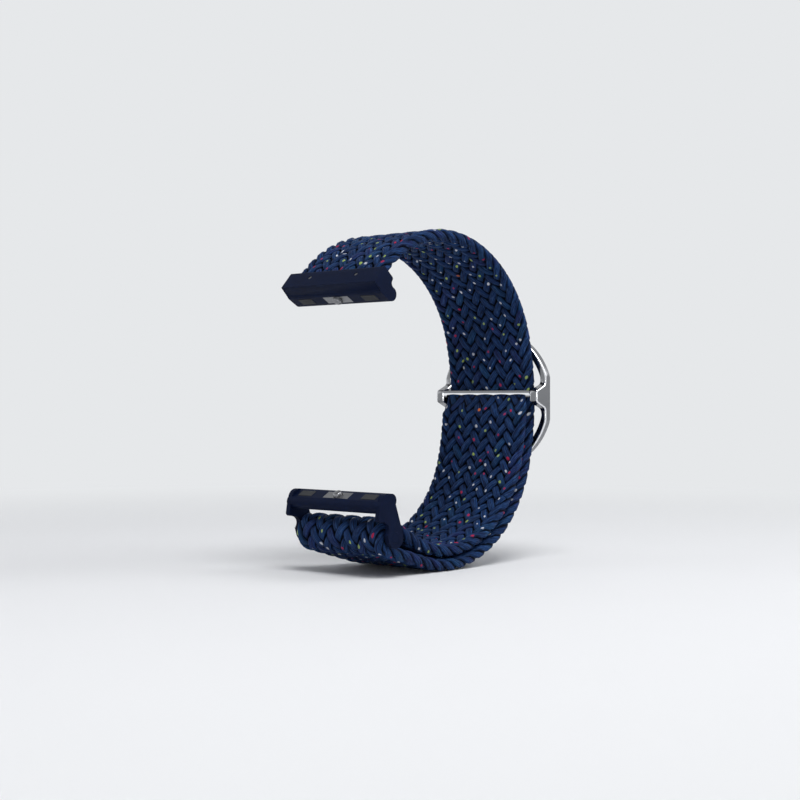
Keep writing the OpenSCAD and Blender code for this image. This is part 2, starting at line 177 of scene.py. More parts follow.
class BuckleSizes(bpy.types.PropertyGroup):
    """The buckle's ring and ears, with the construction's own sizes"""
    rim_width: size("Rim width", "Width of the ring's rim", 1.55)
    rim_thickness: size("Rim thickness", "Thickness of the ring's rim", 1.75)
    ear_inside: size("Ear inside", "Distance from the middle to an ear's inner face", 11.5)
    ear_lift: size("Ear lift", "Height of the ears' middle above the ring's", 0.5)
    ear_height: size("Ear height", "Height of an ear's blunt tip", 2.9)
    ear_corner: size("Ear corner", "Radius of the tip's corners", 0.7)
    ear_fillet: size("Ear fillet", "Radius where an ear meets the rim", 0.9)
    ear_slope: slope("Ear slope", "Angle at which an ear widens to the rim", 24)
    edge: size("Edge", "Radius of the ring's rounded edges", 0.35)


class HardLook(bpy.types.PropertyGroup):
    """The finishes of the steel, moulded and rubber parts"""
    steel: colour("Steel", "Colour of the polished steel", 134, 135, 138)
    steel_cloud: colour("Steel cloud", "Colour of the faint clouds in the steel", 112, 113, 116)
    # Painted highlight: the colour laid on the ring's rounded edges and the clamp's lip
    edge_highlight: colour("Bright edge", "Colour of the steel's ground and rounded edges", 244, 245, 248)
    steel_roughness: share("Steel roughness", "Roughness of the polished steel", 0.12)
    steel_scratches: share("Steel scratches", "Roughness that scratches add to the polished steel", 0.05)
    plain_roughness: share("Plain roughness", "Roughness of the small steel parts", 0.32)
    plain_scratches: share("Plain scratches", "Roughness that scratches add to the small parts", 0.12)
    moulding: colour("Moulding", "Colour of the moulded connectors", 8, 18, 42)
    moulding_worn: colour("Worn moulding", "Colour of the moulding where it is handled", 12, 26, 56)
    rubber: colour("Rubber", "Colour of the grip pads", 26, 28, 32)
    rubber_grain: colour("Rubber grain", "Colour of the grain in the grip pads", 44, 46, 52)
    sealed: colour("Sealed end", "Colour of the heat-sealed braid", 18, 28, 52)
    sealed_ridge: colour("Sealed ridge", "Colour of the ridges in the heat-sealed braid", 34, 50, 84)
    edge: size("Moulded edge", "Radius of the connectors' small edges", 0.12)
    clamp_edge: size("Clamp edge", "Radius of the clamp bar's small edges", 0.06)
    soft_edge: size("Soft edge", "Radius of the edges of the grip pads and the sealed end", 0.1)


class StudioLook(bpy.types.PropertyGroup):
    """The floor and the lamps"""
    floor: colour("Floor", "Colour of the floor under the strap", 232, 233, 235)
    floor_cloud: colour("Floor cloud", "Colour of the faint clouds on the floor", 214, 215, 218)
    backdrop: colour("Backdrop", "Colour of the backdrop behind the strap", 230, 232, 234)
    key_power: power("Key lamp", "Power of the key lamp", 2.6)
    fill_power: power("Fill lamp", "Power of the fill lamp", 0.3)
    back_power: power("Back lamp", "Power of the lamp behind the strap", 1.1)
    edge_power: power("Edge lamp", "Power of the small lamp that draws the steel's edges", 0.16)
    sky: FloatProperty(
        name="Sky", description="Strength of the even light from all sides", default=0.22, min=0)


# Path of the band in the Y-Z plane

# How the tail's end goes into the clamp: the length over which it thins and leaves the back's arc, how much
# narrower each half of it gets, the room that a lip takes, and the rows of points on the way
TAIL_EASE = 4 * MM
TAIL_NARROWING = 0.5 * MM
CLAMP_LIP = 0.26 * MM
EASE_ROWS = 50
# Spacing of the points on an arc
ARC_STEP = 0.1 * MM
# How far the path may lie from the construction's band
PATH_TOLERANCE = 0.2 * MM


def smooth(value, low, high):
    """0 below low, 1 above high, and an even ease between"""
    part = np.clip((value - low) / (high - low), 0, 1)
    return part * part * (3 - 2 * part)


def meet(centre, radius, other, other_radius):
    """Where two circles cross, on the left of the way from the first centre to the second"""
    way = other - centre
    apart = np.hypot(*way)
    along = (radius ** 2 - other_radius ** 2 + apart ** 2) / (2 * apart)
    off = math.sqrt(radius ** 2 - along ** 2)
    return centre + (along * way + off * np.array([-way[1], way[0]])) / apart


def bearing(way):
    return math.atan2(way[1], way[0])


def arc(centre, radius, start, end):
    """Rows of y, z and heading on an arc: the heading is the angle turned a quarter onwards"""
    count = int(abs(end - start) * radius / ARC_STEP) + 2
    angle = np.linspace(start, end, count)
    return np.column_stack([
        centre[0] + radius * np.cos(angle),
        centre[1] + radius * np.sin(angle),
        angle + math.copysign(math.pi / 2, end - start),
    ])


class Lay:
    """The band's middle line from the mouth to the clamp, on which flat shapes are laid"""

    def __init__(self, sizes):
        """Arcs follow one another: over the top, down the back, round the outside of the lower half, round
        the ring bar, back on the inside and up the back, and the tail's end then eases into the clamp"""
        step = sizes.band_thickness + sizes.layer_gap
        half_width = sizes.band_width / 2
        ring_bar = np.array(JOINTS["lower_connector_swing"]["pos_m"][1:])
        back = np.array(JOINTS["buckle_slide"]["pos_m"][1:])
        mouth = np.array([sizes.mouth_depth, sizes.mouth_height])
        inner = sizes.lower_radius - step
        inner_back = sizes.back_radius - step
        upper = meet(mouth, sizes.upper_radius, back, sizes.back_radius - sizes.upper_radius)
        lower = meet(back, sizes.back_radius - sizes.lower_radius, ring_bar,
                     math.hypot(inner + sizes.fold_radius, sizes.return_run))
        upper_join = bearing(upper - back)
        lower_join = bearing(lower - back)
        to_fold = bearing(ring_bar - lower)
        reach = np.hypot(*(ring_bar - lower))
        outside = to_fold + math.acos((sizes.lower_radius - sizes.fold_radius) / reach)
        crossed = to_fold + math.acos((inner + sizes.fold_radius) / reach)
        root = lower_join - sizes.tail_turn
        clamp_low, clamp_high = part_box("end_clamp")
        clamp_middle = (clamp_low.y + clamp_high.y) / 2
        gripped_thickness = clamp_high.y - clamp_low.y - 2 * CLAMP_LIP
        tail_join = math.asin((clamp_low.z - TAIL_EASE - back[1]) / inner_back)
        fixed = np.vstack([
            arc(upper, sizes.upper_radius, bearing(mouth - upper), upper_join),
            arc(back, sizes.back_radius, upper_join, lower_join),
            arc(lower, sizes.lower_radius, lower_join, outside),
            arc(ring_bar, sizes.fold_radius, outside, crossed - math.pi),
            arc(lower, inner, crossed, root),
        ])
        giving = np.vstack([
            arc(lower, inner, root, lower_join),
            arc(back, inner_back, lower_join, tail_join),
        ])
        part = np.linspace(0, 1, EASE_ROWS)
        ease = smooth(part, 0, 1)
        height = giving[-1, 1] + (clamp_low.z - giving[-1, 1]) * part
        bow = back[0] + np.sqrt(inner_back ** 2 - (height - back[1]) ** 2)
        eased = np.column_stack([
            bow + (clamp_middle - bow) * ease,
            height,
            math.pi / 2 + (1 - part) * tail_join,
        ])
        gripped = [[clamp_middle, clamp_high.z - CLAMP_LIP, math.pi / 2]]
        rows = np.vstack([fixed, giving, eased, gripped])
        self.y = rows[:, 0]
        self.z = rows[:, 1]
        self.heading = np.unwrap(rows[:, 2])
        self.s = np.concatenate([[0], np.cumsum(np.hypot(np.diff(self.y), np.diff(self.z)))])
        ends = [0, len(fixed) - 1, len(fixed) + len(giving) - 1, len(rows) - 1]
        self.start, self.root, self.join, self.end = self.s[ends]
        thin = np.concatenate([ease, [1]])
        before = np.ones(len(fixed) + len(giving))
        self.thickness = np.concatenate([
            before, 1 + (gripped_thickness / sizes.band_thickness - 1) * thin])
        self.width = np.concatenate([before, 1 - TAIL_NARROWING / half_width * thin])

    def at(self, s):
        """The middle line's point at a length from the mouth"""
        return (0.0, float(np.interp(s, self.s, self.y)), float(np.interp(s, self.s, self.z)))

    def place(self, flat):
        """Lays flat points (across, along, above) on the band: along follows the middle line and above
        stands on its left normal, while the tail's end squeezes across and above"""
        s = np.clip(flat[:, 1], self.start, self.end)
        heading = np.interp(s, self.s, self.heading)
        above = flat[:, 2] * np.interp(s, self.s, self.thickness)
        return np.column_stack([
            flat[:, 0] * np.interp(s, self.s, self.width),
            np.interp(s, self.s, self.y) - np.sin(heading) * above,
            np.interp(s, self.s, self.z) + np.cos(heading) * above,
        ])


# Meshes

def ring_faces(rings, points):
    """Quads of a tube that closes on itself, from its ring and point counts"""
    ring, point = np.meshgrid(np.arange(rings), np.arange(points), indexing="ij")
    here = ring * points
    after = (ring + 1) % rings * points
    beside = (point + 1) % points
    quads = np.stack([here + point, here + beside, after + beside, after + point], axis=-1)
    return quads.reshape(-1, 4).tolist()


def tube_faces(rings, points):
    """Quads of a tube from its ring and point counts, and a cap for each end"""
    ring, point = np.meshgrid(np.arange(rings - 1), np.arange(points), indexing="ij")
    a = ring * points + point
    b = ring * points + (point + 1) % points
    sides = np.stack([a, a + points, b + points, b], axis=-1).reshape(-1, 4).tolist()
    return sides, [list(range(points)), list(range(rings * points - 1, (rings - 1) * points - 1, -1))]


def new_piece(name, vertices, smooth_faces, flat_faces, fields=None):
    """A mesh object at the origin; fields are attributes of its points"""
    mesh = bpy.data.meshes.new(name)
    mesh.from_pydata(np.asarray(vertices).tolist(), [], smooth_faces + flat_faces)
    flags = np.zeros(len(mesh.polygons), dtype=bool)
    flags[:len(smooth_faces)] = True
    mesh.polygons.foreach_set("use_smooth", flags)
    for field, values in (fields or {}).items():
        kind, part = ("FLOAT_VECTOR", "vector") if values.ndim == 2 else ("FLOAT", "value")
        attribute = mesh.attributes.new(field, kind, "POINT")
        attribute.data.foreach_set(part, values.astype(np.float32).ravel())
    mesh.update()
    piece = bpy.data.objects.new(name, mesh)
    bpy.context.collection.objects.link(piece)
    return piece


# Braid

# Columns of leaves across the band, a strand's rings of points in each, and the points of a ring
COLUMNS = 10
RINGS = 8
SECTION_POINTS = 8
# How square a strand's section is: 2 is an ellipse
SQUARENESS = 4.2
# How a strand turns back at an edge, in columns: the roundness of its turn, how far the fold reaches, and
# how far its climb from face to face counts as sideways travel
EDGE_ROUND = 0.545
FOLD_REACH = 0.7
CLIMB_REACH = 0.5
# Pitches that a strand gains along each edge
EDGE_GAIN = 0.5
# Power of the wave in which a strand dives, where below 1 gives a flat top, and its rise at an edge
DIVE = 0.5
EDGE_DIVE = 0.7
# How quickly a strand's face turns over at an edge
FLIP = 8
# How far the strands run on into the mouth and the clamp
STRAND_HOLD = 0.6 * MM
# The dark core, which shows as painted shade through the gaps between strands: how far it keeps from the
# ends and from the band's edges, and its share of the thickness
CORE_END = 0.1 * MM
CORE_MARGIN = 0.75 * MM
CORE_SHARE = 0.36


def section():
    """A superellipse's points: cosine and sine, each raised to two over the squareness"""
    angle = np.radians(360 / SECTION_POINTS * (np.arange(SECTION_POINTS) + 0.5))
    flatness = 2 / SQUARENESS
    return np.column_stack([np.sign(f(angle)) * np.abs(f(angle)) ** flatness for f in (np.cos, np.sin)])


def turned(u, spread):
    """Edges passed after u columns: a smooth step at each, that many columns to both sides of it"""
    edges = COLUMNS * np.arange(-1, u.max() / COLUMNS + 2)
    return smooth((u[:, None] - edges) / (2 * spread) + 0.5, 0, 1).sum(axis=1)


def advance(u):
    """Pitches travelled along the band after u columns: one for each column, and a gain at each edge,
    where the strand runs on along the edge while it folds"""
    return u + EDGE_GAIN * turned(u, FOLD_REACH)


def near_edge(u, spread):
    """1 where a strand folds round an edge of the band, falling off as a bell over that many columns"""
    phase = np.mod(u, COLUMNS)
    return np.exp(-(np.minimum(phase, COLUMNS - phase) / spread) ** 2)


def strand_line(u, look, half_width, half_thickness):
    """A strand's middle (across, along, above): it crosses the band and comes back in twice the columns,
    and dives at every column's border, so that it lies over in one column and under in the next. Across
    is the difference of two hypotenuses, so the line is straight and rounds off at the edges; above is a
    sine wave raised to a power"""
    phase = np.mod(u, 2 * COLUMNS)
    from_far = np.abs(phase - COLUMNS)
    lift = look.strand_thickness / 2
    reach = np.hypot(COLUMNS, EDGE_ROUND) - EDGE_ROUND
    across = np.hypot(COLUMNS - from_far, EDGE_ROUND) - np.hypot(from_far, EDGE_ROUND)
    wave = np.sin(math.pi * u)
    dive = DIVE + EDGE_DIVE * near_edge(u, FOLD_REACH)
    return np.column_stack([
        across / reach * (half_width - lift),
        look.pitch * advance(u),
        -(half_thickness - lift) * np.sign(wave) * np.abs(wave) ** dive,
    ])


def strand_tube(u, line, look):
    """A strand's surface round its middle: the section stands square to the way, is as wide as the room
    up to the next strand, which is the pitch times the sine of the strand's slant, and turns its face
    over where the strand folds round an edge of the band"""
    way = np.gradient(line, axis=0)
    way /= np.linalg.norm(way, axis=1, keepdims=True)
    tilt = math.pi / 2 * np.tanh(FLIP * np.sin(math.pi * np.mod(u, 2 * COLUMNS) / COLUMNS))
    up = np.column_stack([np.cos(tilt), np.zeros_like(tilt), np.sin(tilt)])
    side = np.cross(way, up)
    side /= np.linalg.norm(side, axis=1, keepdims=True)
    face = np.cross(side, way)
    speed = np.gradient(line, u, axis=0)
    sideways = np.hypot(speed[:, 0], speed[:, 2] * near_edge(u, CLIMB_REACH))
    room = look.pitch * sideways / np.hypot(sideways, speed[:, 1])
    width = np.clip(look.cover * room, look.narrowest, look.widest)[:, None, None]
    outline = section() * [0.5, look.strand_thickness / 2]
    points = line[:, None] + side[:, None] * outline[:, :1] * width + face[:, None] * outline[:, 1:]
    return points.reshape(-1, 3), (outline[:, 0] * width[:, 0]).ravel()


def woven(name, lay, sizes, look, start, end):
    """The braid between two lengths along the band: every strand, and a dark core between them that shows
    as painted shade through the gaps. Neighbouring pieces share the strands' rings where they meet, so no
    seam shows. Its attribute lay holds the columns passed, the millimetres across the strand and the
    strand's number, and depth how near a point lies to the band's outside, by which the finish paints shade
    deep between the strands"""
    half_width = sizes.band_width / 2
    half_thickness = sizes.band_thickness / 2
    flats, lays, sides, caps = [], [], [], []

    def add(flat, lay_rows, rings):
        count = sum(map(len, flats))
        side, cap = tube_faces(rings, SECTION_POINTS)
        sides.extend((np.array(side) + count).tolist())
        caps.extend((np.array(cap) + count).tolist())
        flats.append(flat)
        lays.append(lay_rows)

    u = np.arange(-4 * RINGS, (lay.end / look.pitch + look.strands + 4) * RINGS) / RINGS
    line = strand_line(u, look, half_width, half_thickness)
    before = start - (STRAND_HOLD if start == lay.start else 0)
    after = end + (STRAND_HOLD if end == lay.end else 0)
    for strand in range(look.strands):
        along = line[:, 1] - strand * look.pitch
        keep = slice(np.searchsorted(along, before), np.searchsorted(along, after) + 1)
        shifted = line[keep] - [0, strand * look.pitch, 0]
        flat, across = strand_tube(u[keep], shifted, look)
        columns = np.repeat(u[keep], SECTION_POINTS)
        add(flat, np.column_stack([columns, across / MM, np.full(len(flat), strand)]), len(shifted))

    # The dark core, which shows as painted shade through the gaps between strands
    rows = np.linspace(max(start, lay.start + CORE_END), min(end, lay.end - CORE_END),
                       int((end - start) / MM) + 2)
    outline = section() * [half_width - CORE_MARGIN, half_thickness * CORE_SHARE]
    core = np.stack([
        np.tile(outline[:, 0], (len(rows), 1)),
        np.repeat(rows[:, None], SECTION_POINTS, axis=1),
        np.tile(outline[:, 1], (len(rows), 1)),
    ], axis=-1).reshape(-1, 3)
    add(core, np.zeros_like(core), len(rows))

    flat = np.vstack(flats)
    flat[:, 1] = np.clip(flat[:, 1], lay.start, lay.end)
    from_middle = np.abs(flat[:, 2]) / half_thickness
    past_edge = (np.abs(flat[:, 0]) - half_width) / MM + 1
    depth = np.clip(np.maximum(from_middle, past_edge), 0, 1)
    return new_piece(name, lay.place(flat), sides, caps, {"lay": np.vstack(lays), "depth": depth})


# Buckle

# Rows of points on an ear's corner, and on the rim from the ear to the top or the bottom of the ring
CORNER_ROWS = 7
RIM_ROWS = 25
# Angles of the points on a rounded edge of the rim's section
EDGE_TURNS = np.radians([0, 22, 45, 68, 90])
# Where the bore eases inwards to an ear: angles from the ear's side, and heights from the ear's middle
EASE_TILT = (0.28, 0.62)
EASE_HEIGHT = (1.6 * MM, 4.2 * MM)
# Least cosine in the flat side's reach, which keeps it finite at the top and the bottom
LEAST_COSINE = 0.1


def ear_outline(sizes, tip, front):
    """Half of an ear from its middle to the rim, as rows of height, depth and lean of the face: a flat
    tip, a rounded corner that leans the face over, a straight flank, and a fillet that leans it back"""
    lean = np.linspace(0, math.pi / 2 - sizes.ear_slope, CORNER_ROWS)
    corner = [sizes.ear_height / 2 - sizes.ear_corner, tip + sizes.ear_corner]
    turn = np.column_stack([np.sin(lean), -np.cos(lean)])
    rounded = corner + sizes.ear_corner * turn
    rise = front - sizes.ear_fillet * (1 - math.sin(sizes.ear_slope)) - rounded[-1, 1]
    foot = rounded[-1] + [rise * math.tan(sizes.ear_slope), rise]
    hollow = foot + sizes.ear_fillet * turn[-1] - sizes.ear_fillet * turn[::-1]
    middle = [[0, tip, 0], [corner[0] / 2, tip, 0]]
    return np.vstack([middle, np.column_stack([rounded, lean]), np.column_stack([hollow, lean[::-1]])])


def ring_surface(sizes):
    """The ring with its two ears: a section with four rounded corners goes round the ring. Its outer side
    follows the circle cut by the flat side, its inner side the bore, which eases inwards to each ear,
    and its front the ears' outline. Returns the points, how much each lies on a rounded edge, which sets
    the strength of the painted highlight there, and the counts of rings and of points in a ring"""
    low, high = (np.array(corner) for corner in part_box("buckle_frame"))
    centre = (low[2] + high[2]) / 2
    outer = (high[2] - low[2]) / 2
    bore = outer - sizes.rim_width
    front = high[1] - sizes.rim_thickness

    half = ear_outline(sizes, low[1], front)
    ear = np.vstack([half[:0:-1] * [-1, 1, -1], half])
    ear_tilt = np.arctan2(ear[:, 0] + sizes.ear_lift, high[0])
    below = np.linspace(-math.pi / 2, ear_tilt[0], RIM_ROWS + 1)[:-1]
    above = np.linspace(ear_tilt[-1], math.pi / 2, RIM_ROWS + 1)[1:]
    tilt = np.concatenate([below, ear_tilt, above])
    rim_front = np.full(RIM_ROWS, front)
    depth = np.concatenate([rim_front, ear[:, 1], rim_front])
    lean = np.concatenate([np.zeros(RIM_ROWS), ear[:, 2], np.zeros(RIM_ROWS)])

    reach = np.minimum(outer, high[0] / np.maximum(np.cos(tilt), LEAST_COSINE))
    side_x, side_z = reach * np.cos(tilt), reach * np.sin(tilt)
    radial = smooth(np.abs(tilt), *EASE_TILT)
    bore_z = side_z + (bore * np.sin(tilt) - side_z) * radial
    bore_x = np.sqrt(np.maximum(bore ** 2 - bore_z ** 2, 0))
    away = smooth(np.abs(bore_z - sizes.ear_lift), *EASE_HEIGHT)
    eased_x = sizes.ear_inside + (bore_x - sizes.ear_inside) * away
    bore_x = np.where(np.abs(tilt) > EASE_TILT[1], bore_x, eased_x)

    zero = np.zeros_like(tilt)
    side = np.column_stack([side_x, zero, side_z])
    inner = np.column_stack([bore_x, zero, bore_z])
    inwards = (inner - side) / np.linalg.norm(inner - side, axis=1, keepdims=True)
    face_in = np.column_stack([zero, np.cos(lean), -np.sin(lean)])
    back_in = np.tile([0.0, -1.0, 0.0], (len(tilt), 1))
    back = np.full(len(tilt), high[1])
    corners = [
        (side, depth, face_in, 1, EDGE_TURNS),
        (side, back, back_in, 1, EDGE_TURNS[::-1]),
        (inner, back, back_in, -1, EDGE_TURNS),
        (inner, depth, face_in, -1, EDGE_TURNS[::-1]),
    ]
    loops, edges = [], []
    for place, level, normal, way, angles in corners:
        for angle in angles:
            point = place + inwards * way * sizes.edge * (1 - math.sin(angle))
            point = point + normal * sizes.edge * (1 - math.cos(angle))
            loops.append(point + np.outer(level, [0, 1, 0]))
            # The middle of each rounded edge gets the full painted highlight
            edges.append(math.sin(2 * angle))
    right = np.stack(loops, axis=1)
    left = right[-2:0:-1] * [-1, 1, 1]
    points = np.concatenate([right, left]) + [0, 0, centre]
    return points.reshape(-1, 3), np.tile(edges, len(points)), len(points), len(loops)


# Copies of the construction's nodes

# Points closer than this are one, faces this near to level are one, and an edge that bends less is smooth
MERGE = 0.002 * MM
LEVEL = math.radians(0.5)
SMOOTH_BELOW = math.radians(32)


def finer(node, edge=0.0):
    """A copy of a CAD node with its loose triangles merged, its round faces smooth and, where asked,
    a small radius on its edges. It stands for the node"""
    mesh = frame["nodes"][node].data.copy()
    work = bmesh.new()
    work.from_mesh(mesh)
    bmesh.ops.remove_doubles(work, verts=work.verts, dist=MERGE)
    bmesh.ops.dissolve_limit(work, angle_limit=LEVEL, verts=work.verts, edges=work.edges)
    for face in work.faces:
        face.smooth = True
    for corner in work.edges:
        corner.smooth = corner.is_manifold and corner.calc_face_angle(math.pi) < SMOOTH_BELOW
    work.to_mesh(mesh)
    work.free()
    mesh.materials.clear()
    piece = bpy.data.objects.new(node + "_finished", mesh)
    bpy.context.collection.objects.link(piece)
    if edge:
        bevel = piece.modifiers.new("small edges", "BEVEL")
        bevel.width = edge
        bevel.segments = 2
        bevel.limit_method = "ANGLE"
        bevel.angle_limit = SMOOTH_BELOW
        bevel.harden_normals = True
    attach(piece, BODY_OF[node])
    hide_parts(node)
    return piece


# Materials

# What a leaf's random seed gains from strand to strand, and what its second set of chances adds to it
STRAND_SEED = 97
SECOND_SEED = 0.37
# The clamp's lip, which carries a painted highlight band: how far its top lies above the bar's middle, and
# the heights from that top between which the painted highlight comes in at its foot and goes out at its
# head
LIP_LIFT = 0.15 * MM
LIP_FOOT = (-0.55 * MM, -0.45 * MM)
LIP_HEAD = (0, 0.06 * MM)
# Radians per millimetre across and along of the sealed end's waves
SEALED_WAVE = (2.855, 2)
# Distances from the middle between which the floor goes over to the backdrop
FLOOR_FADE = (0.06, 0.3)


class Value:
    """A socket that takes part in arithmetic: each operator adds the Math node that works it out"""

    def __init__(self, finish, socket):
        self.finish = finish
        self.socket = socket

    def math(self, operation, *others):
        return self.finish.node("Math", {"operation": operation}, dict(enumerate((self,) + others)))

    def __add__(self, other):
        return self.math("ADD", other)

    def __sub__(self, other):
        return self.math("SUBTRACT", other)

    def __mul__(self, other):
        return self.math("MULTIPLY", other)

    def __truediv__(self, other):
        return self.math("DIVIDE", other)

    def __rsub__(self, other):
        return self * -1 + other

    def __gt__(self, other):
        return self.math("GREATER_THAN", other)

    def __lt__(self, other):
        return self.math("LESS_THAN", other)

    __radd__ = __add__
    __rmul__ = __mul__

    def floor(self):
        return self.math("FLOOR")

    def root(self):
        return self.math("SQRT")

    def sine(self):
        return self.math("SINE")

    def between(self, low, high, first=0.0, last=1.0):
        """A smooth step from first to last as the value goes from low to high"""
        return self.finish.node("MapRange", {"interpolation_type": "SMOOTHSTEP"}, {
            "Value": self, "From Min": low, "From Max": high, "To Min": first, "To Max": last})

    def parts(self):
        """The three numbers of a vector or colour"""
        node = self.finish.node("SeparateXYZ", {}, {0: self}).socket.node
        return [Value(self.finish, output) for output in node.outputs]


class Finish:
    """A material and its nodes"""

    def __init__(self, name):
        self.material = bpy.data.materials.new(name)
        self.material.use_nodes = True
        self.tree = self.material.node_tree
        self.tree.nodes.clear()

    def node(self, kind, settings, inputs, output=0):
        """Adds one node: its settings first, then its sockets' values or links; returns one output"""
        node = self.tree.nodes.new("ShaderNode" + kind)
        for key, value in settings.items():
            if key == "stops":
                ramp = node.color_ramp
                ramp.interpolation = "CONSTANT"
                while len(ramp.elements) < len(value):
                    ramp.elements.new(1)
                for element, (place, tint) in zip(ramp.elements, value):
                    element.position = place
                    element.color = (*tint, 1)
            else:
                setattr(node, key, value)
        for key, value in inputs.items():
            if isinstance(value, Value):
                self.tree.links.new(value.socket, node.inputs[key])
            else:
                node.inputs[key].default_value = value
        return Value(self, node.outputs[output]) if node.outputs else node

    def attribute(self, name, output):
        return self.node("Attribute", {"attribute_name": name, "attribute_type": "GEOMETRY"}, {}, output)

    def place(self):
        return self.node("TexCoord", {}, {}, "Object")

    def vector(self, x, y, z):
        return self.node("CombineXYZ", {}, {0: x, 1: y, 2: z})

    def noise(self, vector, scale, detail, roughness):
        return self.node("TexNoise", {}, {
            "Vector": vector, "Scale": scale, "Detail": detail, "Roughness": roughness}, "Fac")

    def chance(self, seed):
        """Three random values that stay the same for the same seed"""
        return self.node("TexWhiteNoise", {"noise_dimensions": "1D"}, {"W": seed}, "Color").parts()

    def mix(self, factor, first, second):
        """The first colour going over to the second as the factor goes from 0 to 1. The node has sockets
        for numbers and vectors too: its colours are inputs 6 and 7 and output 2"""
        tints = [tint if isinstance(tint, Value) else (*tint, 1) for tint in (first, second)]
        return self.node("Mix", {"data_type": "RGBA"}, {0: factor, 6: tints[0], 7: tints[1]}, 2)

    def bump(self, height, distance, strength):
        return self.node("Bump", {}, {"Height": height, "Distance": distance, "Strength": strength})

    def surface(self, **sockets):
        """Ends the material in a Principled shader; an underscore in a name stands for a space"""
        inputs = {key.replace("_", " "): value for key, value in sockets.items()}
        for key, value in inputs.items():
            if "Color" in key or "Tint" in key:
                inputs[key] = value if isinstance(value, Value) else (*value, 1)
        shader = self.node("BsdfPrincipled", {}, inputs)
        self.node("OutputMaterial", {}, {"Surface": shader})
        return self.material


def braid_finish(look, column):
    """Navy yarn: bundles of filaments along each strand with painted shade in the furrows between them,
    thin threads with a painted highlight, a tint for each leaf, a small fleck on most of them, and painted
    shade deep between the strands. Column is the width of a column of leaves"""
    finish = Finish("braided navy yarn")
    u, across, strand = finish.attribute("lay", "Vector").parts()
    depth = finish.attribute("depth", "Fac")
    leaf = u.floor()
    seed = leaf + (strand + 0.5).floor() * STRAND_SEED
    turn, side, kind = finish.chance(seed)
    shown, hue, light = finish.chance(seed + SECOND_SEED)

    # The yarn: streaks along the strand, bundles of filaments that sway a little, and thin threads with a
    # painted highlight
    sway = finish.noise(finish.vector(u * 0.9, across * 0.8, strand * 3.7), 1, 2, 0.5)
    streak = finish.noise(finish.vector(u * 0.9, across * 3.2, strand * 5.3), 1.1, 3, 0.6)
    thread_and_highlight = finish.noise(finish.vector(u * 2.6 + across * 0.5, across * 9, strand * 1.9), 1, 3, 0.6)
    along = u - leaf
    bundle = ((across + along * 0.25 + sway * 0.8) * (math.pi / (look.filament / MM))).sine()
    ridge = bundle * bundle
    navy = finish.mix(streak.between(0.34, 0.66), look.navy, look.blue)
    navy = finish.mix((hue > 0.86) * 0.22, navy, look.violet)
    navy = finish.mix((hue < 0.12) * 0.2, navy, look.teal)
    navy = finish.mix(light * 0.4, navy, look.shade)
    # Painted shade in the furrows between the bundles of filaments
    navy = finish.mix(ridge.between(0.05, 0.6, 0.55, 0), navy, look.furrow_shade)
    # Painted highlight on the thin threads
    navy = finish.mix(thread_and_highlight.between(0.5, 0.72) * 0.26, navy, look.thread_and_highlight)

    # The fleck: a spot at a place by chance on the leaf, of a size and colour by chance, frayed by the
    # streaks. Its colours' stops are running shares of the flecks
    leaf_length = math.hypot(look.pitch, column) / MM
    across_off = across - (side - 0.5) * 0.9
    along_off = (along - (turn * 0.66 + 0.17)) * leaf_length
    away = (across_off * across_off * 1.1 + along_off * along_off * 0.9).root() + (streak - 0.5) * 0.24
    radius = (light * 0.4 + 0.7) * (look.fleck_size / MM / 2)
    spot = (away / radius).between(0.75, 1.25, 1, 0) * (shown < look.fleck_share)
    stops = [(0, look.white), (0.41, look.lime), (0.73, look.red), (0.99, look.orange)]
    tint = finish.node("ValToRGB", {"stops": stops}, {"Fac": kind})
    faded = finish.mix(streak.between(0.4, 0.75) * 0.4 + turn * 0.2, tint, look.blue)
    yarn = finish.mix(spot, navy, faded)

    # Painted shade: points deep between the strands, and the dark core, go over to the gap colour
    tone = finish.mix(depth.between(0.4, 0.84), look.gap, yarn)
    height = ridge * 0.8 + thread_and_highlight * 0.25 + streak * 0.3 + spot * 0.3
    return finish.surface(
        Base_Color=tone, Roughness=streak * 0.2 + 0.5, Normal=finish.bump(height, 0.06 * MM, 0.9),
        Sheen_Weight=0.05, Sheen_Roughness=0.4, Sheen_Tint=look.sheen, Specular_IOR_Level=0.06)


def steel_finish(name, look, roughness, scratches, lip_top=None):
    """Steel: faint clouds of roughness and hair scratches across it, and painted highlights on its edges:
    where the mesh says that they are rounded, or in a band on a lip below the height of its top"""
    finish = Finish(name)
    place = finish.place()
    cloud = finish.noise(place, 260, 4, 0.6)
    x, y, z = place.parts()
    hair = finish.noise(finish.vector(x * 900, y * 6000, z * 2600), 1, 2, 0.5)
    tone = finish.mix(cloud.between(0.3, 0.75) * 0.3, look.steel, look.steel_cloud)
    if lip_top is None:
        # Painted highlight on the rounded edges that the mesh marks
        highlight_mask = finish.attribute("edge", "Fac")
    else:
        # Painted highlight in a band on the lip, below its top
        below = z.between(lip_top + LIP_FOOT[0], lip_top + LIP_FOOT[1])
        highlight_mask = below * z.between(lip_top + LIP_HEAD[0], lip_top + LIP_HEAD[1], 1, 0)
    tone = finish.mix(highlight_mask, tone, look.edge_highlight)
    return finish.surface(
        Base_Color=tone, Metallic=1.0, Roughness=cloud * 0.12 + hair * scratches + (roughness - 0.06),
        Normal=finish.bump(hair, 0.002 * MM, 0.35))


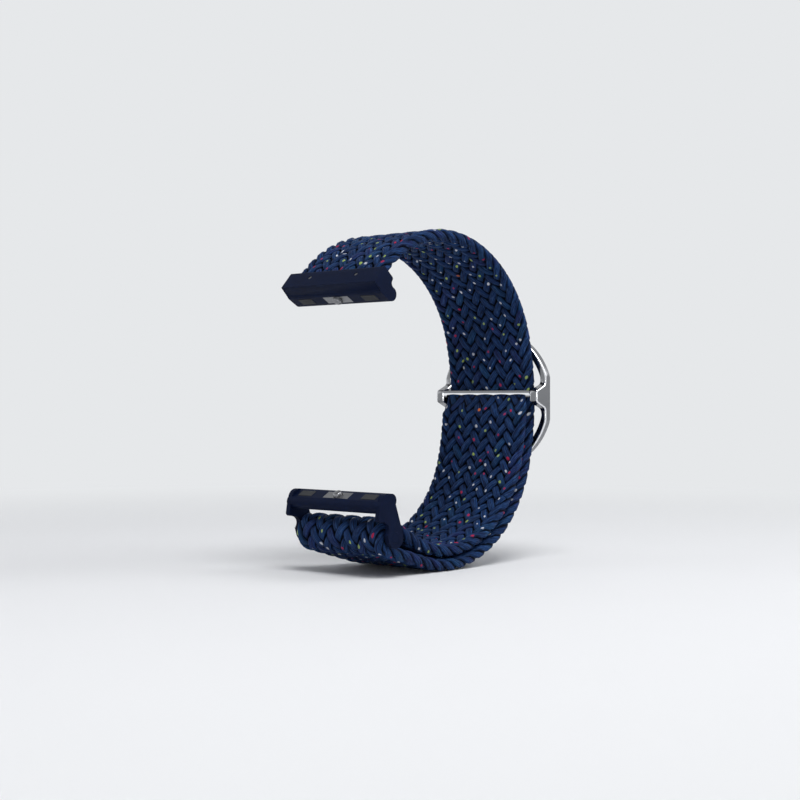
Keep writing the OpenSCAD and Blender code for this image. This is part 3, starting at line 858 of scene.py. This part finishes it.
def moulding_finish(look):
    """Smooth navy moulding: a very fine grain, and slightly paler where it is handled"""
    finish = Finish("moulded navy plastic")
    place = finish.place()
    grain = finish.noise(place, 5200, 3, 0.6)
    cloud = finish.noise(place, 320, 3, 0.55)
    tone = finish.mix(cloud.between(0.35, 0.8) * 0.35, look.moulding, look.moulding_worn)
    return finish.surface(
        Base_Color=tone, Roughness=cloud * 0.14 + 0.44, Normal=finish.bump(grain, 0.01 * MM, 0.4),
        Specular_IOR_Level=0.05)


def rubber_finish(look):
    """Dark rubber with a fine grain"""
    finish = Finish("grip rubber")
    grain = finish.noise(finish.place(), 6500, 4, 0.6)
    tone = finish.mix(grain * 0.4, look.rubber, look.rubber_grain)
    return finish.surface(
        Base_Color=tone, Roughness=grain * 0.2 + 0.62, Normal=finish.bump(grain, 0.02 * MM, 0.6))


def sealed_finish(look):
    """Heat-sealed braid: the weave's ridges melted flat, as two sine waves that slant either way"""
    finish = Finish("heat-sealed braid")
    place = finish.place()
    x, y, _ = place.parts()
    across = x / MM * SEALED_WAVE[0]
    along = y / MM * SEALED_WAVE[1]
    ridge = ((across + along).sine() * (across - along).sine()) * 0.5 + 0.5
    grain = finish.noise(place, 1900, 3, 0.6)
    tone = finish.mix(ridge * 0.5 + grain * 0.3, look.sealed, look.sealed_ridge)
    return finish.surface(
        Base_Color=tone, Roughness=grain * 0.2 + 0.45,
        Normal=finish.bump(ridge + grain * 0.3, 0.08 * MM, 0.5))


def floor_finish(look):
    """Pale floor that takes the shadow, going over to an even pale backdrop further out"""
    finish = Finish("pale floor")
    place = finish.place()
    x, y, _ = place.parts()
    cloud = finish.noise(place, 9, 3, 0.5)
    tone = finish.mix(cloud * 0.25, look.floor, look.floor_cloud)
    paint = finish.node("BsdfPrincipled", {}, {
        "Base Color": tone, "Roughness": 0.75, "Specular IOR Level": 0.2})
    glow = finish.node("Emission", {}, {"Color": (*look.backdrop, 1), "Strength": 1.0})
    kinds = ("Is Camera Ray", "Is Glossy Ray", "Is Transmission Ray")
    seen = sum(finish.node("LightPath", {}, {}, kind) for kind in kinds)
    far = (x * x + y * y).root().between(*FLOOR_FADE)
    both = finish.node("MixShader", {}, {0: (seen > 0.5) * far, 1: paint, 2: glow})
    finish.node("OutputMaterial", {}, {"Surface": both})
    return finish.material


def dress(piece, material):
    """Gives a piece its material"""
    piece.data.materials.clear()
    piece.data.materials.append(material)


# Operators

class STRAP_OT_braid(bpy.types.Operator):
    """Weaves the band from the upper connector to the buckle's clamp"""
    bl_idname = "strap.braid"
    bl_label = "Weave the braid"

    def execute(self, context):
        sizes = context.scene.strap_loop
        look = context.scene.strap_braid
        hard = context.scene.strap_hard
        lay = Lay(sizes)
        low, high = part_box("band_main")
        half = sizes.band_thickness / 2
        off = np.array([lay.y.max() + half - high.y, lay.z.max() + half - high.z,
                        lay.z.min() - half - low.z])
        if np.abs(off).max() > PATH_TOLERANCE:
            raise RuntimeError(f"the band's path is off the construction's band by {off} m")
        material = braid_finish(look, sizes.band_width / COLUMNS)
        band = woven("braided_band", lay, sizes, look, lay.start, lay.root)
        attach(band, "strap")
        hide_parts("band_main")
        tail = woven("braided_tail", lay, sizes, look, lay.root, lay.end)
        lay.at(lay.root)
        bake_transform(tail)
        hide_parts("band_tail", "band_tail_end")
        for piece in (band, tail):
            dress(piece, material)
        dress(finer("band_upper_end", hard.soft_edge), sealed_finish(hard))
        return {"FINISHED"}


class STRAP_OT_buckle(bpy.types.Operator):
    """Polishes the buckle's ring and clamp bar"""
    bl_idname = "strap.buckle"
    bl_label = "Polish the buckle"

    def execute(self, context):
        look = context.scene.strap_hard
        points, edges, rings, loop = ring_surface(context.scene.strap_buckle)
        # Its edge attribute weighs the painted highlight on the rounded edges
        ring = new_piece("buckle_ring", points, ring_faces(rings, loop), [], {"edge": edges})
        ring.modifiers.new("flat faces", "WEIGHTED_NORMAL").keep_sharp = True
        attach(ring, BODY_OF["buckle_frame"])
        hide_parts("buckle_frame")
        steel = (look, look.steel_roughness, look.steel_scratches)
        dress(ring, steel_finish("polished steel", *steel))
        low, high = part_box("end_clamp")
        # Steel with a painted highlight band on the clamp's lip
        ground = steel_finish("ground steel", *steel, (low.z + high.z) / 2 + LIP_LIFT)
        dress(finer("end_clamp", look.clamp_edge), ground)
        return {"FINISHED"}


class STRAP_OT_connectors(bpy.types.Operator):
    """Finishes the moulded connectors, their plugs and their grip pads"""
    bl_idname = "strap.connectors"
    bl_label = "Finish the connectors"

    def execute(self, context):
        look = context.scene.strap_hard
        moulded = moulding_finish(look)
        rubber = rubber_finish(look)
        for node in ("upper_connector", "lower_connector"):
            dress(finer(node, look.edge), moulded)
        dress(finer("ring_bar_plugs"), moulded)
        for node in ("upper_grip_pads", "lower_grip_pads"):
            dress(finer(node, look.soft_edge), rubber)
        return {"FINISHED"}


# Small steel parts that keep their shape, and what a pressed spring gives beyond its plunger's travel
STEEL_NODES = (
    "ring_bar", "clamp_dowels", "upper_retaining_pins", "upper_latch_plate", "lower_latch_plate",
    "upper_latch_plunger", "lower_latch_plunger",
)
SPRING_ROOM = 0.02 * MM


class STRAP_OT_hardware(bpy.types.Operator):
    """Finishes the ring bar, pins, dowels and sprung latches"""
    bl_idname = "strap.hardware"
    bl_label = "Finish the small steel parts"

    def execute(self, context):
        look = context.scene.strap_hard
        plain = steel_finish("plain steel", look, look.plain_roughness, look.plain_scratches)
        for node in STEEL_NODES:
            dress(finer(node), plain)
        for side in ("upper", "lower"):
            spring = finer(side + "_latch_spring")
            dress(spring, plain)
            joint = JOINTS[side + "_latch_press"]
            axis = np.array(joint["axis"])
            along = np.array([vertex.co for vertex in spring.data.vertices]) @ axis
            height = along.max() - along.min()
            1 - (joint["range_m"][1] + SPRING_ROOM) / height
            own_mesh(spring)
        return {"FINISHED"}


# The floor: radii of its middle disc and of its flat part, radius of its bend, height of its wall, the
# points round it and the rows on its bend
FLOOR_DISC = 0.02
FLOOR_RADIUS = 0.62
FLOOR_BEND = 0.25
FLOOR_WALL = 0.9
FLOOR_POINTS = 96
BEND_ROWS = 13
# Each lamp's place and width, and the point that all of them face
LAMPS = {
    "key": ((0.22, -0.14, 0.52), 0.36),
    "fill": ((-0.42, -0.22, 0.16), 0.40),
    "back": ((0.34, 0.34, 0.30), 0.36),
    "edge": ((0.34, -0.40, 0.02), 0.07),
}
LAMP_AIM = (0, 0.022, 0)
SKY_COLOUR = (0.95, 0.97, 1, 1)
# The camera stands level
CAMERA_PLACE = (0.1939, -0.19865, -0.00046)
CAMERA_TURN = math.radians(42)
CAMERA_LENS = 66.6
CAMERA_SENSOR = 36
CAMERA_NEAR = 0.01


def floor_surface(ground):
    """A profile turned round the upright axis: flat, then a quarter bend, then a wall. Returns the points
    and the profile's rows"""
    bend = np.linspace(0, math.pi / 2, BEND_ROWS)[1:]
    edge = FLOOR_RADIUS + FLOOR_BEND
    radius = np.concatenate([[FLOOR_DISC, FLOOR_RADIUS], FLOOR_RADIUS + FLOOR_BEND * np.sin(bend), [edge]])
    height = np.concatenate([[0, 0], FLOOR_BEND * (1 - np.cos(bend)), [FLOOR_WALL]])
    angle = np.linspace(0, 2 * math.pi, FLOOR_POINTS, endpoint=False)
    points = np.stack([
        np.outer(radius, np.cos(angle)),
        np.outer(radius, np.sin(angle)),
        np.repeat(height[:, None] + ground, FLOOR_POINTS, axis=1),
    ], axis=-1)
    return points.reshape(-1, 3), len(radius)


def lamp(name, place, width, watts):
    """A round lamp that faces the strap"""
    light = bpy.data.lights.new(name, "AREA")
    light.shape = "DISK"
    light.size = width
    light.energy = watts
    holder = bpy.data.objects.new(name, light)
    holder.location = place
    holder.rotation_euler = (Vector(LAMP_AIM) - Vector(place)).to_track_quat("-Z", "Y").to_euler()
    bpy.context.collection.objects.link(holder)


class STRAP_OT_studio(bpy.types.Operator):
    """Adds the pale floor with its rising rim, the lamps and the camera"""
    bl_idname = "strap.studio"
    bl_label = "Set up the studio"

    def execute(self, context):
        look = context.scene.strap_studio
        points, rows = floor_surface(CAD_BOX[0][2])
        faces, caps = tube_faces(rows, FLOOR_POINTS)
        floor = new_piece("pale_floor", points, faces, caps[:1])
        floor.data.materials.append(floor_finish(look))
        for name, (place, width) in LAMPS.items():
            lamp(name + "_lamp", place, width, getattr(look, name + "_power"))
        world = bpy.data.worlds.new("even sky")
        world.use_nodes = True
        background = world.node_tree.nodes["Background"]
        background.inputs["Color"].default_value = SKY_COLOUR
        background.inputs["Strength"].default_value = look.sky
        context.scene.world = world
        camera = bpy.data.cameras.new("camera")
        camera.lens = CAMERA_LENS
        camera.sensor_width = CAMERA_SENSOR
        camera.clip_start = CAMERA_NEAR
        holder = bpy.data.objects.new("camera", camera)
        holder.location = CAMERA_PLACE
        holder.rotation_euler = (math.pi / 2, 0, CAMERA_TURN)
        bpy.context.collection.objects.link(holder)
        context.scene.camera = holder
        context.scene.view_settings.view_transform = "Standard"
        return {"FINISHED"}


class STRAP_PT_pieces(bpy.types.Panel):
    """Lists the strap's settings and its steps"""
    bl_idname = "STRAP_PT_pieces"
    bl_label = "Braided watch strap"
    bl_space_type = "VIEW_3D"
    bl_region_type = "UI"
    bl_category = "Watch Strap"

    def draw(self, context):
        for name in SETTINGS:
            box = self.layout.box()
            group = getattr(context.scene, name)
            for key in group.__annotations__:
                box.prop(group, key)
        for operator in STEPS:
            self.layout.operator(operator.bl_idname)


SETTINGS = {
    "strap_loop": LoopSizes,
    "strap_braid": BraidLook,
    "strap_buckle": BuckleSizes,
    "strap_hard": HardLook,
    "strap_studio": StudioLook,
}
STEPS = (STRAP_OT_braid, STRAP_OT_buckle, STRAP_OT_connectors, STRAP_OT_hardware, STRAP_OT_studio)


def register():
    for name, group in SETTINGS.items():
        bpy.utils.register_class(group)
        setattr(bpy.types.Scene, name, PointerProperty(type=group))
    for operator in STEPS:
        bpy.utils.register_class(operator)
    bpy.utils.register_class(STRAP_PT_pieces)


def unregister():
    bpy.utils.unregister_class(STRAP_PT_pieces)
    for operator in STEPS:
        bpy.utils.unregister_class(operator)
    for name, group in SETTINGS.items():
        delattr(bpy.types.Scene, name)
        bpy.utils.unregister_class(group)


def main():
    register()
    bpy.ops.strap.braid()
    bpy.ops.strap.buckle()
    bpy.ops.strap.connectors()
    bpy.ops.strap.hardware()
    bpy.ops.strap.studio()


if __name__ == "__main__":
    main()
